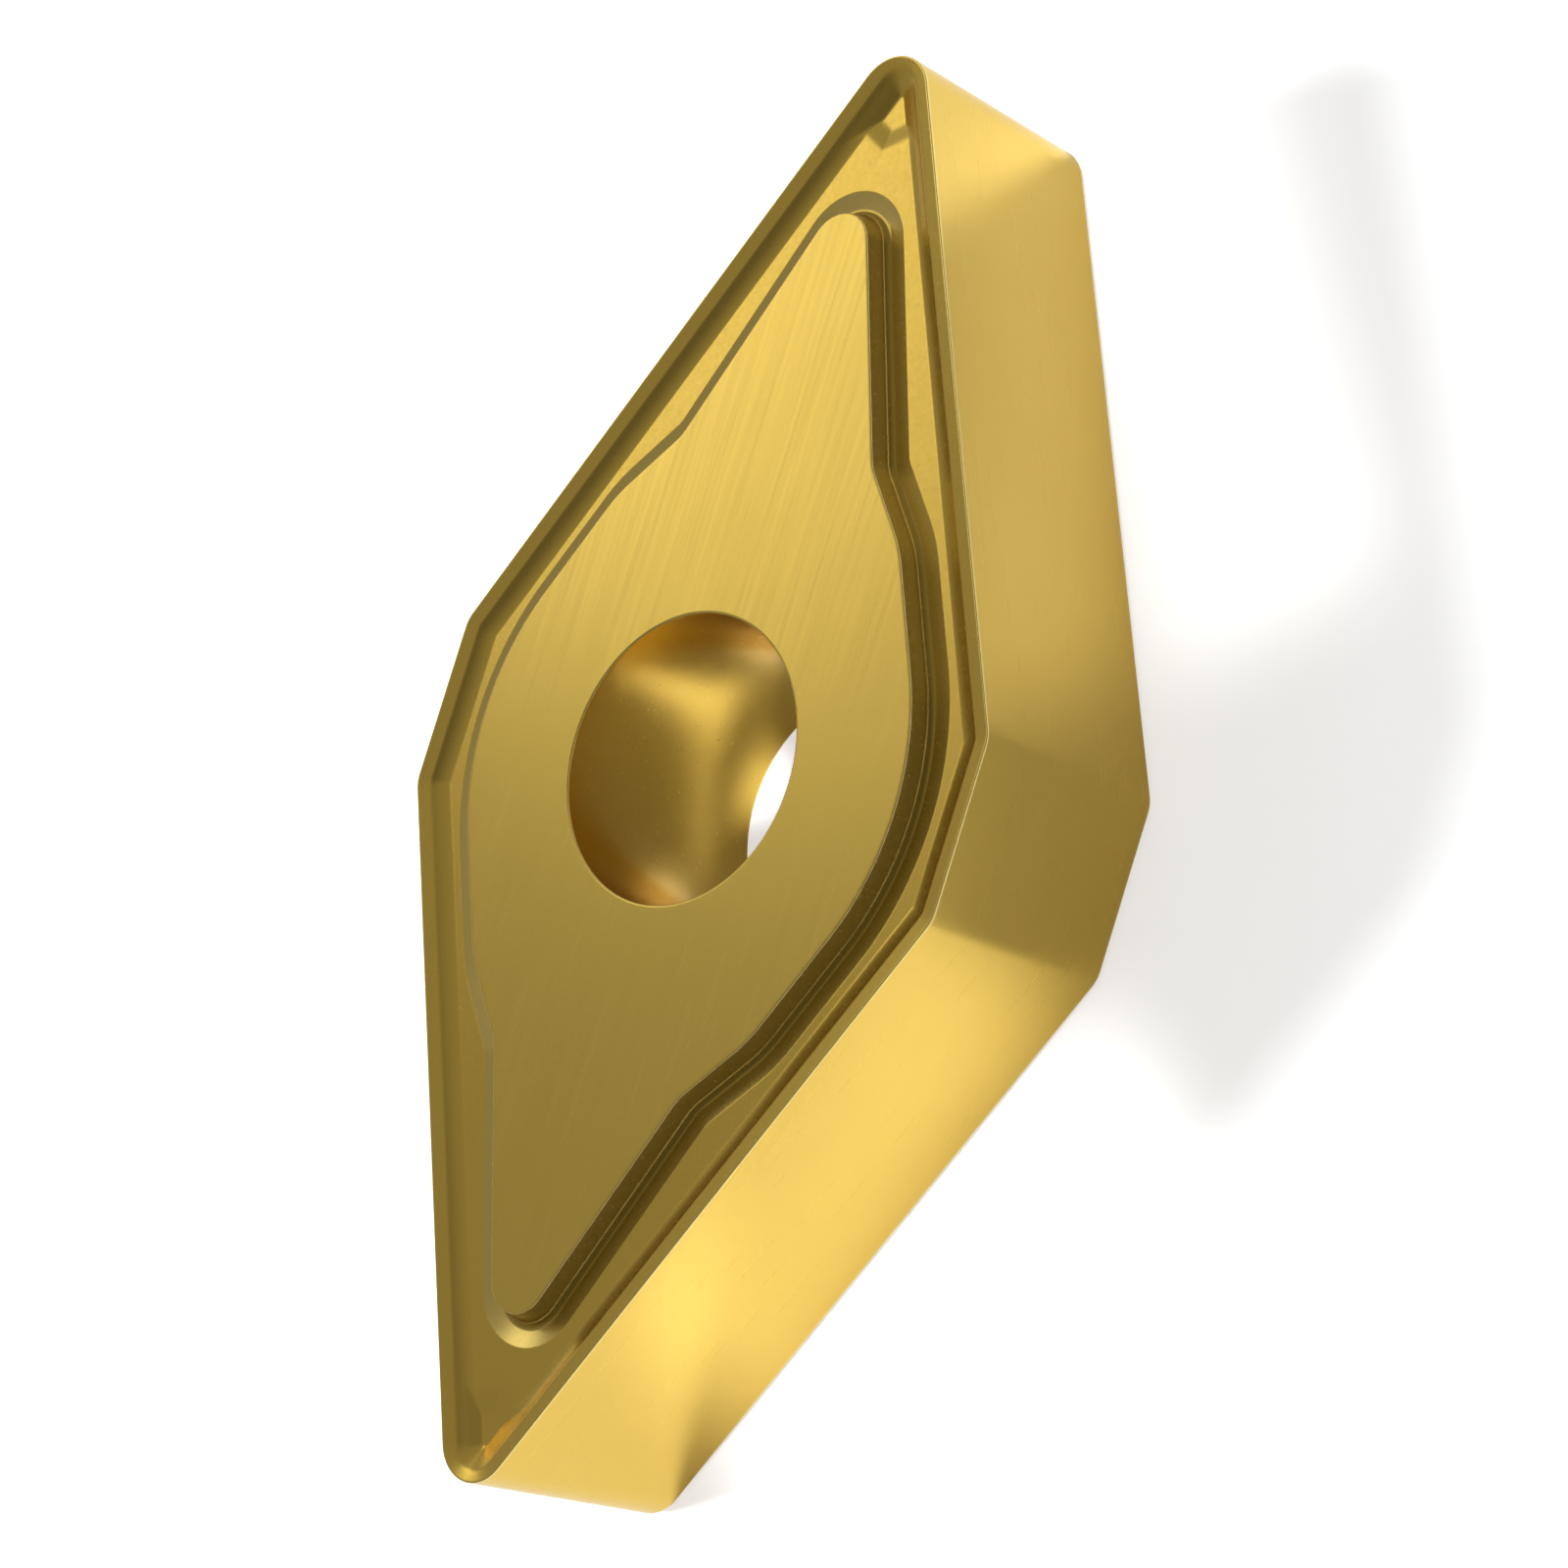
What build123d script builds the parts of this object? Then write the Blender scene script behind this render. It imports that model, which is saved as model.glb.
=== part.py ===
from build123d import *
import os
from math import atan2, cos, hypot, radians, sin, tan

# Double-sided 55 degree rhombic turning insert, lying flat on its lower seat.
# Millimetres. X is the long diagonal, Y the short one, Z is up. The origin is on
# the bore axis in the plane of the lower seat.

# Body
IC = 12.7                    # diameter of the inscribed circle
NOSE_ANGLE = 55.0            # angle between the two cutting edges of a nose
NOSE_R = 0.8                 # radius of both noses
BLUNT_R = 0.6                # vertical rounding at the ends of the blunt flats
THICKNESS = 4.76             # from a cutting edge to the seat of the other face
SEAT_RISE = 0.145            # seat above the cutting edges of the same face
BORE_R = 2.58                # plain clamping hole
BORE_BREAK = 0.03            # broken edge of the hole at both seats
HONE = 0.03                  # narrow facet that takes the keenness off the edge

# Chip groove behind the cutting edge, measured square to the edge
LAND = 0.29                  # width of the flat land
LAND_TILT = 12.8             # fall of the land, in degrees
GROOVE_END = 0.645           # from the edge to the foot of the curved fall
FLOOR_DROP = 0.21            # level of the chip floor below the edge
GROOVE_TURN = 22.0           # turn of the hollow arc between land and floor

# Seat island in the middle of each face
SEAT_R = 5.015               # disk round the bore, its tangents follow the edges
SHOULDER = 2.23              # straight shoulder past that disk, along the edge
STEP = 1.674                 # length of the step that leads in to the arm
STEP_TILT = 41.9             # its slope in plan
ARM_TILT = 23.4              # half angle of the two tapering arms
ARM_R = 0.65                 # rounding at the end of an arm
SHOULDER_R = 2.5             # rounding where shoulder turns into step
WAIST_R = 1.0                # rounding where step turns into arm

# Ring groove round the island
RING = 0.53                  # plan width between seat edge and chip floor
RING_R = 0.25                # radius of its bottom
WALL_TILT = 80.0             # slope of the island wall
RING_TILT = 14.0             # fall of the outer side

# Pocket in the chip floor behind each nose
POCKET_DROP = 0.07           # its bottom below the chip floor
POCKET_INSET = 0.70          # from the cutting edge to the bottom
POCKET_TILT = 27.6           # fall of its sides along the cutting edges
POCKET_TIGHT = 0.04          # how much tighter than the nose its rounding is
POCKET_BACK = 1.265          # from the nose tip to the notch of its bottom
RAMP_TILT = 10.5             # rise of its two ramps towards the chip floor

HALF = radians(NOSE_ANGLE / 2)
ALONG_X = (0.0, 0.0)
ALONG_Y = (radians(90), 0.0)
EDGE_Z = THICKNESS
SEAT_Z = THICKNESS + SEAT_RISE
FLOOR_Z = EDGE_Z - FLOOR_DROP
POCKET_Z = FLOOR_Z - POCKET_DROP
NOSE_X = (IC / 2 - NOSE_R) / sin(HALF)
TIP_X = NOSE_X + NOSE_R
OVER = 0.1                   # how far a cutter runs past the surface it leaves


def meet(first, second):
    """Plan point where two lines meet, each its normal's angle from Y and distance."""
    a, p = first
    b, q = second
    turn = sin(a - b)
    return ((p * cos(b) - q * cos(a)) / turn, (q * sin(a) - p * sin(b)) / turn)


def plan_face(corners, radii):
    """Face from the corners of one quadrant, X axis first, each with a rounding."""
    half = corners + [(-x, y) for x, y in reversed(corners) if x > OVER]
    whole = half + [(x, -y) for x, y in reversed(half) if y > OVER]
    face = Polygon(*whole, align=None)
    for (x, y), radius in zip(corners, radii):
        alike = face.vertices().filter_by(
            lambda v: abs(abs(v.X) - x) + abs(abs(v.Y) - y) < OVER / 100
        )
        if radius > 0:
            face = fillet(alike, radius)
    return face


def edge_face(inset, blunt_r=0.0):
    """Plan inside the cutting edges, moved inwards by inset."""
    flank = (HALF, IC / 2 - inset)
    blunt = (0.0, IC / 2 - inset)
    corners = [meet(flank, ALONG_X), meet(flank, blunt)]
    return plan_face(corners, [NOSE_R - inset, blunt_r])


def seat_face(grow=0.0):
    """Plan of the island: disk, shoulders along the edges, steps and tapering arms."""
    turn = radians(STEP_TILT)
    taper = radians(ARM_TILT)
    x = SEAT_R * sin(HALF) + SHOULDER * cos(HALF)
    y = SEAT_R * cos(HALF) - SHOULDER * sin(HALF)
    shoulder = (HALF, SEAT_R + grow)
    step = (turn, x * sin(turn) + y * cos(turn) + grow)
    arm = (taper, x * sin(taper) + y * cos(taper) - STEP * sin(turn - taper) + grow)
    corners = [
        meet(arm, ALONG_X),
        meet(step, arm),
        meet(shoulder, step),
        meet(shoulder, ALONG_Y),
    ]
    return plan_face(corners, [ARM_R + grow, WAIST_R - grow, SHOULDER_R + grow, SEAT_R + grow])


def hollow_arc(start, end, turn):
    """Arc of a given turn that sags under the chord between two points."""
    chord = hypot(end[0] - start[0], end[1] - start[1])
    slope = atan2(end[1] - start[1], end[0] - start[0])
    sag = chord / 2 * tan(radians(turn) / 4)
    middle = (
        (start[0] + end[0]) / 2 + sag * sin(slope),
        (start[1] + end[1]) / 2 - sag * cos(slope),
    )
    return ThreePointArc(start, middle, end)


def carried(section, face, height, inwards):
    """Section of distance from a plan outline and height over it, taken all round."""
    edges = face.face().outer_wire().order_edges()
    nose = max(range(len(edges)), key=lambda i: edges[i].center().X)
    wire = Pos(0, 0, height) * Wire(edges[nose:] + edges[:nose])
    begin = wire.position_at(0)
    across = wire.tangent_at(0).cross(Vector(0, 0, 1))
    if (across.dot(begin) > 0) == inwards:
        across = -across
    start = Plane(begin, x_dir=across, z_dir=across.cross(Vector(0, 0, 1)))
    return sweep(start * section, wire, transition=Transition.RIGHT)


def rim_relief():
    """Room above hone, land and curved fall behind the cutting edges."""
    fall = tan(radians(LAND_TILT))
    land_in = (LAND, -LAND * fall)
    foot = (GROOVE_END, -FLOOR_DROP)
    inner = GROOVE_END + OVER
    top = SEAT_RISE + OVER
    outline = Polyline(
        foot,
        (inner, -FLOOR_DROP),
        (inner, top),
        (-OVER, top),
        (-OVER, -HONE - OVER),
        (0, -HONE),
        (HONE, -HONE * fall),
        land_in,
    )
    section = make_face([outline, hollow_arc(land_in, foot, GROOVE_TURN)])
    return carried(section, edge_face(0), EDGE_Z, inwards=True)


def floor_relief():
    """Room above the flat chip floor, outside the island."""
    height = SEAT_Z + OVER - FLOOR_Z
    around = extrude(edge_face(GROOVE_END + OVER / 2), height)
    island = extrude(seat_face(RING / 2), height)
    return Pos(0, 0, FLOOR_Z) * (around - island)


def ring_relief():
    """Room above the ring groove, with the leaning wall of the island."""
    depth = SEAT_RISE + FLOOR_DROP
    lean = 1 / tan(radians(WALL_TILT))
    fall = tan(radians(RING_TILT))
    bottom = (depth + RING * fall) / (1 + lean * fall)
    corner = (bottom * lean, -bottom)
    section = Polygon(
        (-OVER * lean, OVER),
        corner,
        (RING + OVER / 2, OVER / 2 * fall - depth),
        (RING + OVER / 2, OVER),
        align=None,
    )
    lowest = section.vertices().sort_by(Axis.Y)[0]
    section = fillet(lowest, RING_R)
    return carried(section, seat_face(), SEAT_Z, inwards=False)


def ramp_place(height):
    """Where a ramp has this height over the pocket's bottom, measured along the edge."""
    return (TIP_X - POCKET_BACK) * cos(HALF) - height / tan(radians(RAMP_TILT))


def pocket_plan(height):
    """Kite of the nose pocket at a height over its bottom."""
    inset = POCKET_INSET - height / tan(radians(POCKET_TILT))
    flank = (HALF, IC / 2 - inset)
    ramp = (HALF + radians(90), ramp_place(height))
    tip = meet(flank, ALONG_X)
    side = meet(flank, ramp)
    notch = meet(ramp, ALONG_X)
    kite = Polygon(tip, side, notch, (side[0], -side[1]), align=None)
    foremost = kite.vertices().sort_by(Axis.X)[-1]
    return Pos(0, 0, POCKET_Z + height) * fillet(foremost, NOSE_R - POCKET_TIGHT - inset)


def pocket_relief():
    """Room in the pocket, from its bottom up over the land, clear of the island."""
    height = POCKET_DROP + FLOOR_DROP + OVER / 2
    plans = [pocket_plan(0).face(), pocket_plan(height).face()]
    start = ramp_place(POCKET_DROP) / cos(HALF) - OVER / 2
    ahead = Box(IC, IC, height, align=(Align.MIN, Align.CENTER, Align.MIN))
    return loft(plans, ruled=True) & Pos(start, 0, POCKET_Z) * ahead


def upper_relief():
    """Everything taken off the upper face."""
    pocket = pocket_relief()
    return [
        rim_relief(),
        floor_relief(),
        ring_relief(),
        pocket,
        pocket.rotate(Axis.Z, 180),
    ]


def insert_body():
    """Upright prism with both faces relieved alike and the hole through it."""
    body = extrude(edge_face(0, BLUNT_R), SEAT_Z)
    middle = Plane((0, 0, SEAT_Z / 2))
    for cutter in upper_relief():
        body -= cutter
        body -= mirror(cutter, about=middle)
    body -= extrude(Circle(BORE_R), SEAT_Z)
    rims = body.edges().filter_by(GeomType.CIRCLE)
    rims = rims.filter_by(lambda e: abs(e.radius - BORE_R) < OVER / 100)
    return chamfer(rims, BORE_BREAK)


os.makedirs("parts", exist_ok=True)
export_step(insert_body(), "parts/carbide_insert.step")
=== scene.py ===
import bpy
import numpy as np
from mathutils import Matrix, Vector


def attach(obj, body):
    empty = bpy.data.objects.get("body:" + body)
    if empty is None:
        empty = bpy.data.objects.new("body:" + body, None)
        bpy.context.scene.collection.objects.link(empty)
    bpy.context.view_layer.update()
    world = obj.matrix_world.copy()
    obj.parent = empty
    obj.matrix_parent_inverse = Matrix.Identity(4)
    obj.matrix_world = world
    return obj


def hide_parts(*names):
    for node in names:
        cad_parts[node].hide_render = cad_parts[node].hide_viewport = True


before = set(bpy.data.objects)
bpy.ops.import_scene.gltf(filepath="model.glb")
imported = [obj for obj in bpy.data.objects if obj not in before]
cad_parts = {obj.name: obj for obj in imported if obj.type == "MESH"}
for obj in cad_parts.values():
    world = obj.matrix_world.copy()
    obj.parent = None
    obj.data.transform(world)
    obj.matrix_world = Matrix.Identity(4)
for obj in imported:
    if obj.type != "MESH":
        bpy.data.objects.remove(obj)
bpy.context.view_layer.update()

# The insert: one pressed and sintered body of cemented carbide with a thin gold
# coating of titanium nitride. Seats and flanks are ground, the chip grooves are left
# as pressed, and the cutting edges are honed round. Sizes are in millimetres.
MM = 0.001
INSCRIBED_R = 6.35
NOSE_HALF = np.radians(27.5)
NOSE_R = 0.8
BLUNT_R = 0.66
EDGE_Z = 4.76
SEAT_Z = 4.905
BORE_R = 2.58
BORE_BREAK = 0.03
HONE = 0.035
LAND = 0.29
LAND_FALL = np.tan(np.radians(12.8))
GROOVE_END = 0.645
FLOOR_DROP = 0.21
GROOVE_TURN = np.radians(22.0)
SEAT_R = 5.015
SHOULDER = 2.23
SHOULDER_R = 2.5
STEP = 1.674
STEP_TILT = np.radians(41.9)
WAIST_R = 1.0
ARM_TILT = np.radians(23.4)
ARM_R = 0.65
RING = 0.53
RING_R = 0.15
WALL_TILT = np.radians(80.0)
RING_TILT = np.radians(14.0)
POCKET_DROP = 0.07
POCKET_INSET = 0.70
POCKET_FALL = np.tan(np.radians(27.6))
POCKET_TIGHT = 0.04
POCKET_BACK = 1.265
RAMP_RISE = np.tan(np.radians(10.5))
SOFT = 0.02
CREASE = 0.008


def along(angle):
    """Unit normal of a line in plan, from its angle to the Y axis."""
    return np.stack([np.sin(angle), np.cos(angle)], -1)


def follow(arcs, runs):
    """Quarter of an outline, from the X axis to the Y axis, with its outward normals.

    Each point of an arc is its centre plus its radius times the normal; between two
    arcs the outline runs straight, at the shares of the way that runs gives. A hollow
    arc has a minus radius, so the outline moved out by g is its points plus g normals.
    """
    angles = [np.linspace(start, end, steps + 1) for _, _, start, end, steps in arcs]
    bends = [np.array(arc[0]) + arc[1] * along(angle) for arc, angle in zip(arcs, angles)]
    points, normals = [bends[0]], [along(angles[0])]
    for near, far, angle, run in zip(bends, bends[1:], angles[1:], runs):
        share = np.asarray(run)[:, None]
        points += [near[-1] * (1 - share) + far[0] * share, far]
        normals += [np.repeat(along(angle[:1]), len(run), 0), along(angle)]
    return np.concatenate(points), np.concatenate(normals)


def all_round(quarter):
    """Whole ring from a quarter of it, mirrored across the Y axis and then turned."""
    half = np.concatenate([quarter[:-1], (quarter * (-1, 1))[:0:-1]])
    return np.concatenate([half, -half])


def two_speeds(close, share, wide):
    """Shares of a straight: close steps over its first part, wide steps over the rest."""
    first = np.linspace(0, share, close + 1)[1:]
    rest = np.linspace(share, 1, wide + 1)[1:-1]
    return np.concatenate([first, rest])


def corner_of(first, second):
    """Plan point where two lines meet, each its normal's angle and its distance."""
    return np.linalg.solve(along(np.array([first[0], second[0]])), [first[1], second[1]])


def centre_in(first, second, radius):
    """Centre of an arc that touches two lines from inside, or outside if it is hollow."""
    return corner_of((first[0], first[1] - radius), (second[0], second[1] - radius))


flank = (NOSE_HALF, INSCRIBED_R)
blunt = (0.0, INSCRIBED_R)
nose_centre = np.array([(INSCRIBED_R - NOSE_R) / np.sin(NOSE_HALF), 0])
TIP_X = nose_centre[0] + NOSE_R
edge_quarter = follow(
    [
        (nose_centre, NOSE_R, np.pi / 2, NOSE_HALF, 30),
        (centre_in(flank, blunt, BLUNT_R), BLUNT_R, NOSE_HALF, 0, 5),
        ((0, 0), INSCRIBED_R, 0, 0, 0),
    ],
    [two_speeds(54, 0.14, 41), np.linspace(0, 1, 11)[1:-1]],
)
edge, edge_out = (all_round(part) for part in edge_quarter)

shoulder = (NOSE_HALF, SEAT_R)
edge_run = np.array([np.cos(NOSE_HALF), -np.sin(NOSE_HALF)])
shoulder_end = SEAT_R * along(NOSE_HALF) + SHOULDER * edge_run
step = (STEP_TILT, shoulder_end @ along(STEP_TILT))
arm = (ARM_TILT, shoulder_end @ along(ARM_TILT) - STEP * np.sin(STEP_TILT - ARM_TILT))
arm_centre = np.array([(arm[1] - ARM_R) / np.sin(ARM_TILT), 0])
island_quarter = follow(
    [
        (arm_centre, ARM_R, np.pi / 2, ARM_TILT, 52),
        (centre_in(arm, step, -WAIST_R), -WAIST_R, ARM_TILT, STEP_TILT, 9),
        (centre_in(step, shoulder, SHOULDER_R), SHOULDER_R, STEP_TILT, NOSE_HALF, 6),
        ((0, 0), SEAT_R, NOSE_HALF, 0, 18),
    ],
    [two_speeds(31, 0.27, 12), np.linspace(0, 1, 6)[1:-1], np.linspace(0, 1, 8)[1:-1]],
)
island, island_out = (all_round(part) for part in island_quarter)
around = len(edge)


def eased(start, corner, end, steps):
    """Rounded corner of a section: the curve drawn by its two ends and the corner."""
    t = np.linspace(0, 1, steps + 1)[:, None]
    start, corner, end = np.array(start), np.array(corner), np.array(end)
    return start * (1 - t) ** 2 + corner * 2 * t * (1 - t) + end * t**2


def bend(start, radius, first, last, steps):
    """Arc of a section that turns from the first slope to the last, from a start."""
    turn = np.linspace(first, last, steps + 1)
    across = np.sin(turn) - np.sin(first)
    rise = np.cos(first) - np.cos(turn)
    return np.array(start) + radius * np.stack([across, rise], 1)


# Section over the seat edge and through the ring groove: outwards and height
depth = SEAT_Z - EDGE_Z + FLOOR_DROP
lean = 1 / np.tan(WALL_TILT)
bottom = (depth + RING * np.tan(RING_TILT)) / (1 + lean * np.tan(RING_TILT))
down_wall = np.array([np.cos(WALL_TILT), -np.sin(WALL_TILT)])
reach = RING_R * np.tan((WALL_TILT + RING_TILT) / 2)
arc_start = np.array([bottom * lean, -bottom]) - reach * down_wall
ring_section = np.concatenate(
    [
        [(-3 * SOFT, 0)],
        eased((-SOFT, 0), (0, 0), SOFT * down_wall, 3),
        [0.5 * (SOFT * down_wall + arc_start)],
        bend(arc_start, RING_R, -WALL_TILT, RING_TILT, 10),
        [(RING - SOFT, -depth - SOFT * np.tan(RING_TILT)), (RING, -depth)],
    ]
)

# Section from the chip floor over the curved fall, the land and the hone, down the
# flank: inwards and height
land_in = np.array([LAND, -LAND * LAND_FALL])
foot = np.array([GROOVE_END, -FLOOR_DROP])
chord = foot - land_in
slope = np.arctan2(chord[1], chord[0])
hollow_r = np.hypot(*chord) / 2 / np.sin(GROOVE_TURN / 2)
hollow = bend(land_in, hollow_r, slope - GROOVE_TURN / 2, slope + GROOVE_TURN / 2, 10)
land_steps = np.array([LAND - SOFT, 0.245, 0.215, 0.18, 0.12, HONE + SOFT])
rim_section = np.concatenate(
    [
        hollow[::-1],
        np.stack([land_steps, -land_steps * LAND_FALL], 1),
        eased((HONE, -HONE * LAND_FALL), (0, 0), (0, -HONE), 5),
        [(0, -HONE - 2 * SOFT), (0, SEAT_Z / 2 - EDGE_Z)],
    ]
)


def carried(points, normals, section, height):
    """Rows of a section's points taken round an outline, moved along its normals."""
    plan = points + section[:, 0, None, None] * normals
    level = np.broadcast_to(section[:, 1, None, None] + height, (*plan.shape[:2], 1))
    return np.concatenate([plan, level], 2)


def between(inner, outer, shares):
    """Rows at shares of the way from one ring of points to another."""
    share = np.asarray(shares)[:, None, None]
    return inner * (1 - share) + outer * share


def higher(a, b):
    """The higher of two surfaces, with the crease between them eased."""
    return (a + b + np.sqrt((a - b) ** 2 + CREASE**2)) / 2


def pocket_height(x, y):
    """Surface of the pocket behind a nose, for the quarter that both are folded into.

    It is the highest of a flat bottom, a side that climbs towards the cutting edge and
    round the nose, and a ramp that climbs back along the cutting edge.
    """
    x, y = np.abs(x), np.abs(y)
    back = x * np.cos(NOSE_HALF) - y * np.sin(NOSE_HALF)
    inset = INSCRIBED_R - x * np.sin(NOSE_HALF) - y * np.cos(NOSE_HALF)
    centre = (INSCRIBED_R - NOSE_R + POCKET_TIGHT) / np.sin(NOSE_HALF)
    rounded = NOSE_R - POCKET_TIGHT - np.hypot(x - centre, y)
    inset = np.where(back > centre * np.cos(NOSE_HALF), rounded, inset)
    side = (POCKET_INSET - inset) * POCKET_FALL
    ramp = ((TIP_X - POCKET_BACK) * np.cos(NOSE_HALF) - back) * RAMP_RISE
    return EDGE_Z - FLOOR_DROP - POCKET_DROP + higher(higher(side, ramp), 0)


turn = np.linspace(0, 2 * np.pi, around, endpoint=False)
bore_out = np.stack([np.cos(turn), np.sin(turn)], 1)
bore_section = np.concatenate(
    [
        [(0, -SEAT_Z / 2), (0, -BORE_BREAK - 2 * SOFT)],
        eased((0, -BORE_BREAK), (0, 0), (BORE_BREAK, 0), 3),
        [(BORE_BREAK + SOFT, 0)],
    ]
)
bore_rows = carried(BORE_R * bore_out, bore_out, bore_section, SEAT_Z)
ring_rows = carried(island, island_out, ring_section, SEAT_Z)
rim_rows = carried(edge, -edge_out, rim_section, EDGE_Z)
seat_rows = between(bore_rows[-1], ring_rows[0], [0.3, 0.6, 0.9])
floor_start = carried(island, island_out, np.array([[RING + SOFT, -FLOOR_DROP]]), EDGE_Z)
floor_end = carried(edge, -edge_out, np.array([[GROOVE_END + SOFT, -FLOOR_DROP]]), EDGE_Z)
floor_shares = np.concatenate([np.linspace(0, 0.4, 4), np.linspace(0.42, 1, 29)])
floor_rows = between(floor_start[0], floor_end[0], floor_shares)
chip_rows = np.concatenate([floor_rows, rim_rows])
pockets = pocket_height(chip_rows[..., 0], chip_rows[..., 1])
chip_rows[..., 2] = -higher(-chip_rows[..., 2], -pockets)
upper = np.concatenate([bore_rows, seat_rows, ring_rows, chip_rows])
lower = upper[-2:0:-1] * (1, 1, -1) + (0, 0, SEAT_Z)
body = np.concatenate([upper, lower])

# How each row of the upper half is finished: ground on the seat and down the flank, and honed
# or brushed on the edges, whose paler colour is a painted highlight. The island wall and the
# ring groove are painted paler, a painted lift against the dark of their double reflections,
# and the bottom of the ring groove is painted darker, a painted shade. What is none of these
# stays as it was pressed and sintered.
sections = [len(rows) for rows in (bore_rows, seat_rows, ring_rows, floor_rows, rim_rows)]
starts = np.cumsum([0] + sections)
ground_rows = np.zeros(len(upper))
ground_rows[starts[1] - 1 : starts[2] + 2] = 1
ground_rows[-2:] = 1
flank_rows = np.zeros(len(upper))
flank_rows[-2:] = 1
# Rows painted paler, a painted lift against the dark of the double reflections: the island wall
# in full, the rest of the ring groove in part
WALL_ROWS = 6
RING_SHARE = 0.4
wall_start = starts[2] + 3
groove_painted_light_rows = np.zeros(len(upper))
groove_painted_light_rows[wall_start : starts[3] - 1] = RING_SHARE
groove_painted_light_rows[wall_start : wall_start + WALL_ROWS] = 1
# Rows of the painted shade, a darker colour along the bottom of the ring groove
GROOVE_PAINTED_SHADE_SHARES = (0.5, 0.8, 1, 1, 1, 1, 1, 0.8, 0.4)
deep_start = wall_start + 4
deep_rows = np.zeros(len(upper))
deep_rows[deep_start : deep_start + len(GROOVE_PAINTED_SHADE_SHARES)] = GROOVE_PAINTED_SHADE_SHARES
# Rows of the honed and brushed edges: their smoother finish is real, their paler colour a
# painted highlight
BRUSHED_AND_HIGHLIGHT = 0.6
honed_rows = np.zeros(len(upper))
honed_rows[starts[2] + 2 : starts[2] + 4] = BRUSHED_AND_HIGHLIGHT
honed_rows[2:5] = BRUSHED_AND_HIGHLIGHT
honed_rows[-7:-2] = 1


def closed_grid(name, grid, **finishes):
    """Mesh of a grid of points that joins up with itself in both directions.

    Each finish is a value for each row of the upper half, mirrored to the lower half
    and kept on the points under its own name.
    """
    rows, columns, _ = grid.shape
    index = np.arange(rows * columns).reshape(rows, columns)
    right = np.roll(index, -1, 1)
    quads = np.stack([index, np.roll(index, -1, 0), np.roll(right, -1, 0), right], -1)
    mesh = bpy.data.meshes.new(name)
    mesh.from_pydata(grid.reshape(-1, 3) * MM, [], quads.reshape(-1, 4))
    for label, values in finishes.items():
        both_halves = np.concatenate([values, values[-2:0:-1]])
        layer = mesh.attributes.new(label, "FLOAT", "POINT")
        layer.data.foreach_set("value", np.repeat(both_halves, columns).astype(np.float32))
    mesh.shade_smooth()
    mesh.update()
    return mesh


def linear(hex_code):
    """Linear colour of an sRGB hex value, as a shader socket takes it."""
    srgb = np.array([int(hex_code[i : i + 2], 16) for i in (1, 3, 5)]) / 255
    low = srgb / 12.92
    high = ((srgb + 0.055) / 1.055) ** 2.4
    return (*np.where(srgb <= 0.04045, low, high), 1.0)


def add(tree, kind, settings=None, **links):
    """One node, with its settings, and links or values for its sockets.

    A socket goes by its name, or by its number after an underscore.
    """
    node = tree.nodes.new(kind)
    for key, value in (settings or {}).items():
        setattr(node, key, value)
    for key, value in links.items():
        which = int(key[1:]) if key[1:].isdigit() else key.replace("_", " ")
        socket = node.inputs[which]
        if isinstance(value, bpy.types.NodeSocket):
            tree.links.new(value, socket)
        else:
            socket.default_value = value
    return node


def new_material(name):
    """Empty material with an output node, and its node tree."""
    material = bpy.data.materials.new(name)
    material.use_nodes = True
    material.node_tree.nodes.clear()
    return material, material.node_tree


# Satin gold: titanium nitride laid from vapour on cemented carbide. To the eye it is an even
# warm yellow with a soft sheen. Into its colour are mixed a painted lift that makes the island
# wall paler against the dark of its double reflections, a paler painted highlight on the honed
# edges, and a darker painted shade along the bottom of the ring groove.
coating, tree = new_material("titanium_nitride_coating")
where = add(tree, "ShaderNodeTexCoord")
ground = add(tree, "ShaderNodeAttribute", {"attribute_name": "ground"})
on_flank = add(tree, "ShaderNodeAttribute", {"attribute_name": "flank"})
groove_painted_light = add(tree, "ShaderNodeAttribute", {"attribute_name": "groove"})
deep = add(tree, "ShaderNodeAttribute", {"attribute_name": "deep"})
honed = add(tree, "ShaderNodeAttribute", {"attribute_name": "honed"})
in_mm = add(tree, "ShaderNodeMapping", Vector=where.outputs["Object"], Scale=(1 / MM,) * 3)
cloud = add(tree, "ShaderNodeTexNoise", Vector=in_mm.outputs[0], Scale=0.35, Detail=3.0)
tone = add(
    tree,
    "ShaderNodeMix",
    {"data_type": "RGBA"},
    _0=cloud.outputs["Fac"],
    _6=linear("#EBC75D"),
    _7=linear("#F3CF65"),
)
pressed_tone = add(
    tree,
    "ShaderNodeMix",
    {"data_type": "RGBA"},
    _0=ground.outputs["Fac"],
    _6=linear("#E6C158"),
    _7=tone.outputs[2],
)
# Painted lift: the island wall and ring groove painted paler and less yellow, against the dark
# of their double reflections
groove_painted_light_tone = add(
    tree,
    "ShaderNodeMix",
    {"data_type": "RGBA"},
    _0=groove_painted_light.outputs["Fac"],
    _6=pressed_tone.outputs[2],
    _7=linear("#E8D48C"),
)
# Painted shade: a darker colour along the bottom of the ring groove
deep_tone = add(
    tree,
    "ShaderNodeMix",
    {"data_type": "RGBA"},
    _0=deep.outputs["Fac"],
    _6=groove_painted_light_tone.outputs[2],
    _7=linear("#BC9A40"),
)
# Painted highlight: a paler colour on the honed and brushed edges
edge_highlight_tone = add(
    tree,
    "ShaderNodeMix",
    {"data_type": "RGBA"},
    _0=honed.outputs["Fac"],
    _6=deep_tone.outputs[2],
    _7=linear("#F8DD86"),
)
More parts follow.
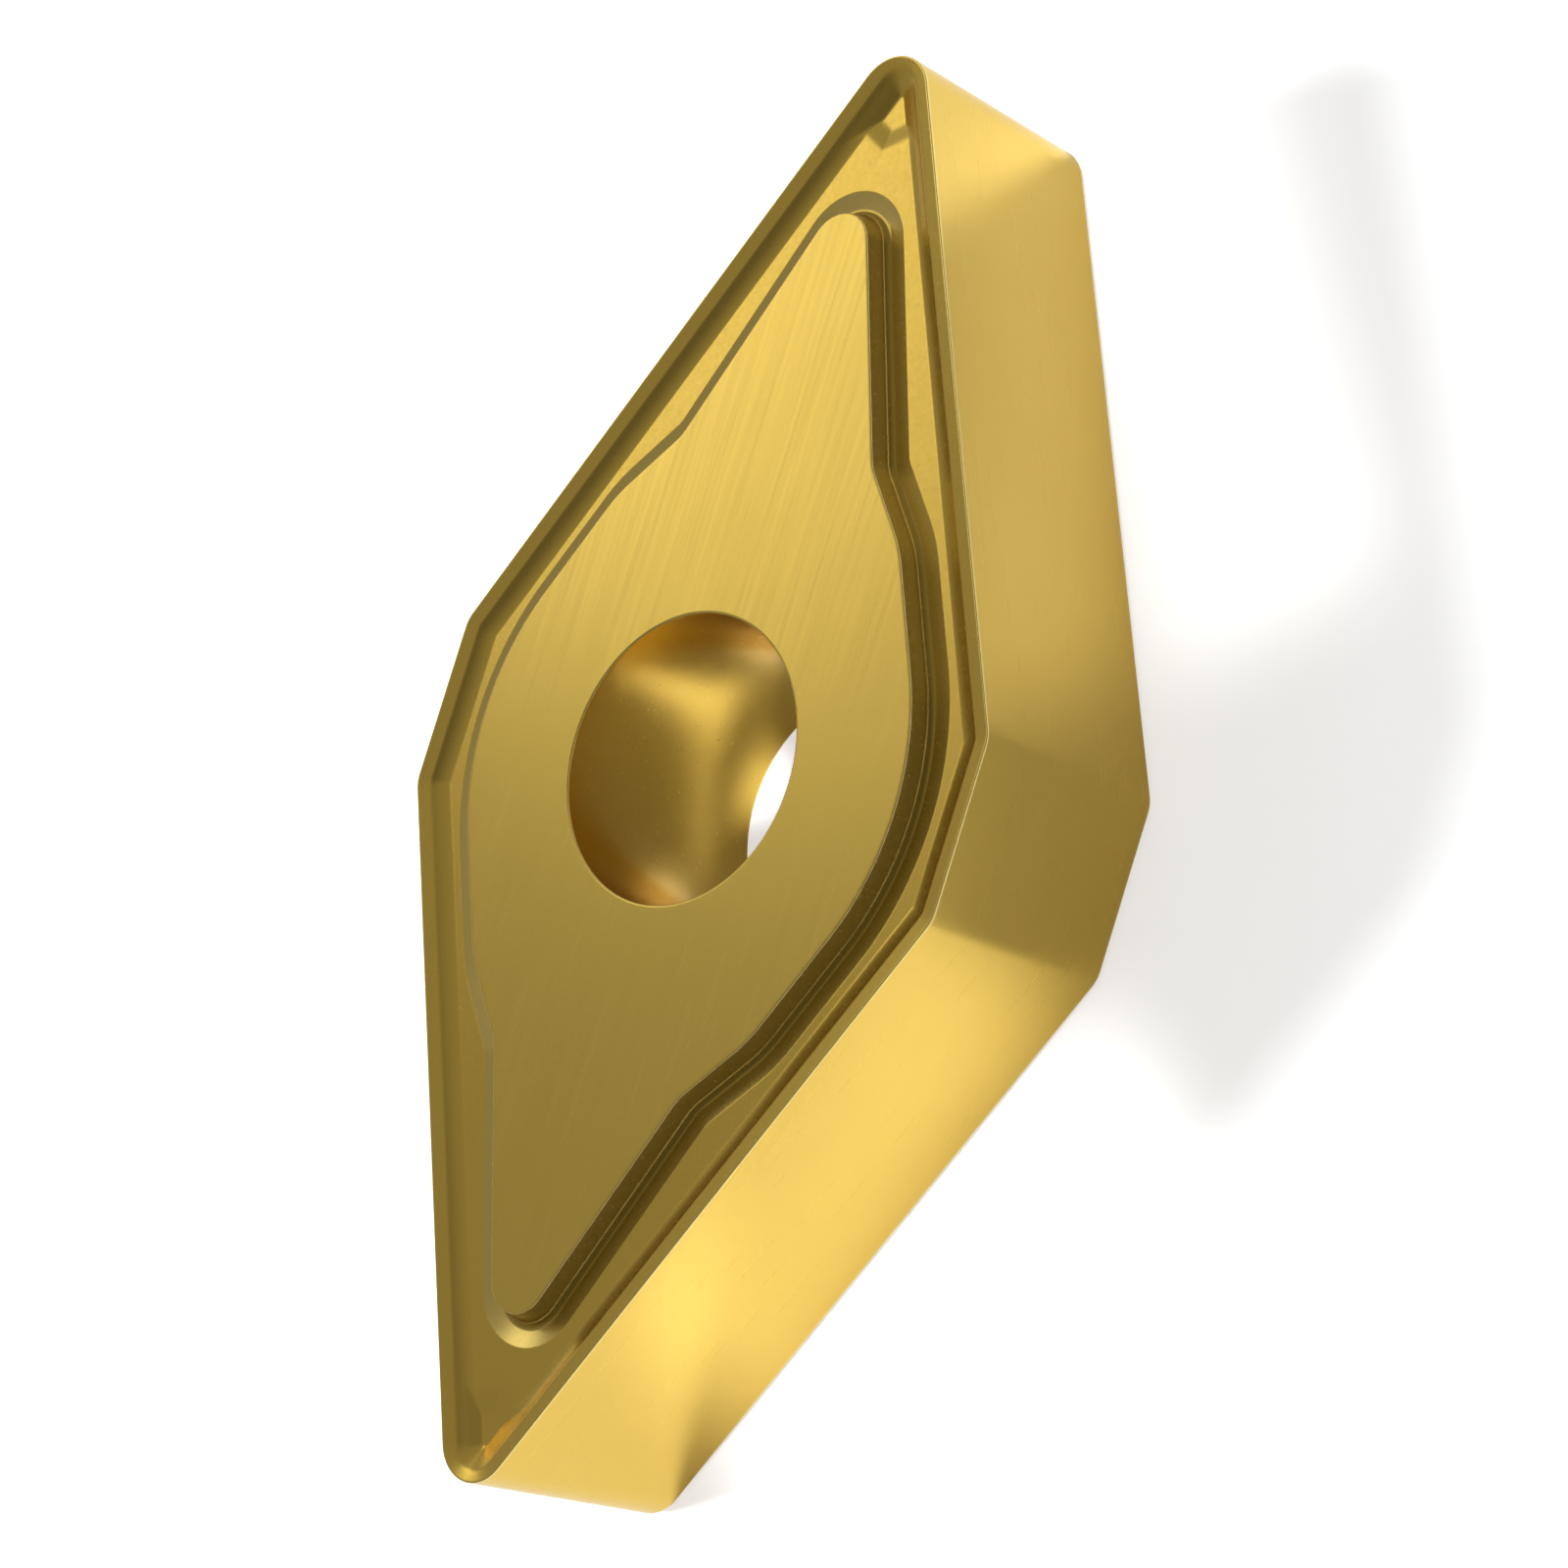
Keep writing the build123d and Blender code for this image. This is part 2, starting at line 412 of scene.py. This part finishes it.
# Grinding lines about 0.1 mm apart, the long way of the seats and along the flanks, and
# a press grain of 0.08 mm in the grooves. Both are drawn several times coarser than the
# real ones, which are too fine to show.
seat_lines = add(tree, "ShaderNodeMapping", Vector=in_mm.outputs[0], Scale=(0.25, 9.0, 9.0))
folded = add(tree, "ShaderNodeVectorMath", {"operation": "ABSOLUTE"}, _0=in_mm.outputs[0])
with_edge = add(
    tree,
    "ShaderNodeMapping",
    Vector=folded.outputs[0],
    Rotation=(0, 0, NOSE_HALF),
)
flank_lines = add(
    tree,
    "ShaderNodeMapping",
    Vector=with_edge.outputs[0],
    Scale=(0.3, 1.0, 12.0),
)
lines = add(
    tree,
    "ShaderNodeMix",
    {"data_type": "VECTOR"},
    _0=on_flank.outputs["Fac"],
    _4=seat_lines.outputs[0],
    _5=flank_lines.outputs[0],
)
scratch = add(tree, "ShaderNodeTexNoise", Vector=lines.outputs[1], Scale=1.0, Detail=2.0)
grain = add(tree, "ShaderNodeTexNoise", Vector=in_mm.outputs[0], Scale=12.0, Detail=4.0)
relief = add(
    tree,
    "ShaderNodeMix",
    _0=ground.outputs["Fac"],
    _2=grain.outputs["Fac"],
    _3=scratch.outputs["Fac"],
)
dullness = add(
    tree,
    "ShaderNodeMapRange",
    Value=relief.outputs[0],
    From_Min=0.3,
    From_Max=0.7,
    To_Min=0.23,
    To_Max=0.275,
)
sheen = add(
    tree,
    "ShaderNodeMix",
    _0=honed.outputs["Fac"],
    _2=dullness.outputs[0],
    _3=0.2,
)
bumps = add(
    tree,
    "ShaderNodeBump",
    Strength=0.12,
    Distance=0.0004 * MM,
    Height=relief.outputs[0],
)
shine = add(
    tree,
    "ShaderNodeBsdfPrincipled",
    Base_Color=edge_highlight_tone.outputs[2],
    Metallic=1.0,
    Roughness=sheen.outputs[0],
    Normal=bumps.outputs[0],
)
add(tree, "ShaderNodeOutputMaterial", Surface=shine.outputs[0])

# The row finishes include a painted lift, a painted shade and a painted highlight
insert_mesh = closed_grid(
    "insert",
    body,
    ground=ground_rows,
    flank=flank_rows,
    groove=groove_painted_light_rows,
    deep=deep_rows,
    honed=honed_rows,
)
insert_mesh.materials.append(coating)
insert = bpy.data.objects.new("insert", insert_mesh)
bpy.context.collection.objects.link(insert)
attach(insert, "root")
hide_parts("carbide_insert")

# The table top: a matt white painted board, flat under the insert, that curves up far
# away so that low views have a pale background too. It is see-through from below, and
# its shade is lifted for the camera, and a little for what the metal mirrors.
BOARD_RADII = np.array([0, 20, 60, 150, 300, 400, 500, 600, 700, 800, 900, 1000]) * MM
BOARD_RISE = 0.23
BOARD_STEPS = 96
CAMERA_LIFT = 0.62
MIRRORED_LIFT = 0.12
board_turn = np.linspace(0, 2 * np.pi, BOARD_STEPS, endpoint=False)
board_plan = np.stack([np.cos(board_turn), np.sin(board_turn)], 1) * BOARD_RADII[1:, None, None]
board_level = BOARD_RISE * np.clip((BOARD_RADII[1:] - 0.3) / 0.7, 0, 1) ** 2
board_heights = np.broadcast_to(board_level[:, None], board_plan.shape[:2])
board_rows = np.dstack([board_plan, board_heights])
cells = 1 + np.arange(board_heights.size).reshape(-1, BOARD_STEPS)
beside = np.roll(cells, -1, 1)
board_quads = np.stack([cells[:-1], cells[1:], beside[1:], beside[:-1]], -1).reshape(-1, 4)
board_middle = np.stack([np.zeros(BOARD_STEPS, int), cells[0], beside[0]], -1)
floor_mesh = bpy.data.meshes.new("table_top")
floor_mesh.from_pydata(
    np.concatenate([[(0, 0, 0)], board_rows.reshape(-1, 3)]),
    [],
    board_middle.tolist() + board_quads.tolist(),
)
floor_mesh.shade_smooth()
floor = bpy.data.objects.new("table_top", floor_mesh)
bpy.context.collection.objects.link(floor)
board, tree = new_material("matt_white_board")
path = add(tree, "ShaderNodeLightPath")
seen = add(
    tree,
    "ShaderNodeMath",
    {"operation": "MAXIMUM"},
    _0=path.outputs["Is Camera Ray"],
    _1=path.outputs["Is Transmission Ray"],
)
faint = add(
    tree,
    "ShaderNodeMath",
    {"operation": "MULTIPLY"},
    _0=path.outputs["Is Glossy Ray"],
    _1=MIRRORED_LIFT,
)
lift = add(
    tree,
    "ShaderNodeMath",
    {"operation": "MULTIPLY_ADD"},
    _0=seen.outputs[0],
    _1=CAMERA_LIFT,
    _2=faint.outputs[0],
)
paint = add(tree, "ShaderNodeBsdfDiffuse", Color=linear("#F2F2F2"))
glow = add(tree, "ShaderNodeEmission", Color=(1, 1, 1, 1), Strength=lift.outputs[0])
both = add(tree, "ShaderNodeAddShader", _0=paint.outputs[0], _1=glow.outputs[0])
side = add(tree, "ShaderNodeNewGeometry")
clear = add(tree, "ShaderNodeBsdfTransparent")
cover = add(
    tree,
    "ShaderNodeMixShader",
    _0=side.outputs["Backfacing"],
    _1=both.outputs[0],
    _2=clear.outputs[0],
)
add(tree, "ShaderNodeOutputMaterial", Surface=cover.outputs[0])
floor_mesh.materials.append(board)

# Soft light: one softbox that the metal mirrors, a wide lamp and narrow beams that it
# doesn't, and a room that is a little brighter to the back and the right, and white to
# the camera
AIM = Vector((0, 0, 2.4)) * MM
SOFTBOX_RADIANCE = 1.1
KEY_RADIANCE = 0.62
KEY_HEIGHT = np.radians(32)
BOARD_WHITE = 0.89
BEAM_WIDE = 4.1
BEAM_OUT = 1.9
BEAM_LEAN = 0.14
HOLE_REACH = 60


def hang(lamp, direction, distance, target=AIM, long_side=(1, 0, 0)):
    """Hang a lamp in a direction from what it faces, its long side along a line."""
    box = bpy.data.objects.new(lamp.name, lamp)
    back = Vector(direction).normalized()
    up = back.cross(Vector(long_side)).normalized()
    facing = Matrix((up.cross(back), up, back)).transposed().to_4x4()
    box.matrix_world = Matrix.Translation(Vector(target) + back * distance * MM) @ facing
    bpy.context.collection.objects.link(box)
    box.visible_camera = False
    return box


softbox = bpy.data.lights.new("back_right_softbox", "AREA")
softbox.shape = "RECTANGLE"
softbox.size, softbox.size_y = 84 * MM, 72 * MM
softbox.energy = SOFTBOX_RADIANCE * np.pi * softbox.size * softbox.size_y
hang(softbox, (0.255, 0.71, 0.645), 240, long_side=(0.94, -0.34, 0))

key = bpy.data.lights.new("table_key", "SUN")
key.angle = np.radians(17)
key.energy = KEY_RADIANCE * np.pi / (BOARD_WHITE * np.sin(KEY_HEIGHT))
hang(key, (-0.35, 0.773, 0.53), 400).visible_glossy = False

# Narrow beams fill the shadow beside the two flanks in view, and one lights the hole
for side_name, across, middle, length, watts in [
    ("left", -1, 4.3, 9.8, 0.00012),
    ("right", 1, 6.7, 11.4, 0.000066),
]:
    beam = bpy.data.lights.new(f"{side_name}_table_beam", "AREA")
    beam.shape = "RECTANGLE"
    beam.size, beam.size_y = length * MM, BEAM_WIDE * MM
    beam.spread = np.radians(7)
    beam.energy = watts
    run = Vector((across * np.cos(NOSE_HALF), np.sin(NOSE_HALF), 0))
    out = Vector((across * np.sin(NOSE_HALF), -np.cos(NOSE_HALF), 0))
    spot = (out * (INSCRIBED_R + BEAM_OUT) + run * middle) * MM
    turned_run = NOSE_HALF + BEAM_LEAN
    leaning = Vector((across * np.cos(turned_run), np.sin(turned_run), 0))
    hang(beam, (across * 0.2, -0.3, 0.93), 32, spot, leaning).visible_glossy = False

streak = bpy.data.lights.new("hole_beam", "AREA")
streak.shape = "RECTANGLE"
streak.size, streak.size_y = 2.7 * MM, 0.5 * MM
streak.spread = np.radians(1)
streak.energy = 0.00001
spot = Vector((-1.2, 0.46, 0)) * MM
hang(streak, (0.25, -0.33, 0.91), HOLE_REACH, spot, (0.816, 0.578, 0)).visible_glossy = False

glint = bpy.data.lights.new("hole_spot", "SPOT")
glint.shadow_soft_size = 0.4 * MM
glint.spot_size = np.radians(1.5)
glint.spot_blend = 0.6
glint.energy = 0.15
spot = Vector((0.3, 2.7, 0)) * MM
hang(glint, (0.0, -0.454, 0.891), HOLE_REACH, spot).visible_glossy = False

world = bpy.data.worlds.new("studio_room")
bpy.context.scene.world = world
world.use_nodes = True
room = world.node_tree
towards = add(room, "ShaderNodeTexCoord")
slant = add(
    room,
    "ShaderNodeVectorMath",
    {"operation": "DOT_PRODUCT"},
    _0=towards.outputs["Generated"],
    _1=(0.2, 0.35, 0.0),
)
strength = add(
    room,
    "ShaderNodeMapRange",
    Value=slant.outputs["Value"],
    From_Min=-0.06,
    From_Max=0.11,
    To_Min=0.13,
    To_Max=0.3,
)
sight = add(room, "ShaderNodeLightPath")
shown = add(
    room,
    "ShaderNodeMath",
    {"operation": "MAXIMUM"},
    _0=strength.outputs[0],
    _1=sight.outputs["Is Camera Ray"],
)
backdrop = room.nodes["Background"]
backdrop.inputs["Color"].default_value = (1, 1, 1, 1)
room.links.new(shown.outputs[0], backdrop.inputs["Strength"])

# The camera, where it stood in the picture: its focal length in pixels of the picture,
# its place, and the directions of its right, its down and its view
PICTURE = 1600
FOCAL = 4140.29
SENSOR = 36.0
EYE = Vector((-4.1269, -48.4463, 54.5286)) * MM
RIGHT = Vector((0.294012, -0.713468, -0.636019))
DOWN = Vector((-0.953859, -0.176613, -0.242820))
AHEAD = Vector((0.060915, 0.678064, -0.732474))
lens = bpy.data.cameras.new("camera")
lens.sensor_width = SENSOR
lens.lens = FOCAL / PICTURE * SENSOR
lens.clip_start = 0.001
lens.clip_end = 10.0
camera = bpy.data.objects.new("camera", lens)
turned = Matrix((RIGHT, -DOWN, -AHEAD)).transposed().to_4x4()
camera.matrix_world = Matrix.Translation(EYE) @ turned
bpy.context.collection.objects.link(camera)
bpy.context.scene.camera = camera
bpy.context.scene.view_settings.view_transform = "Standard"
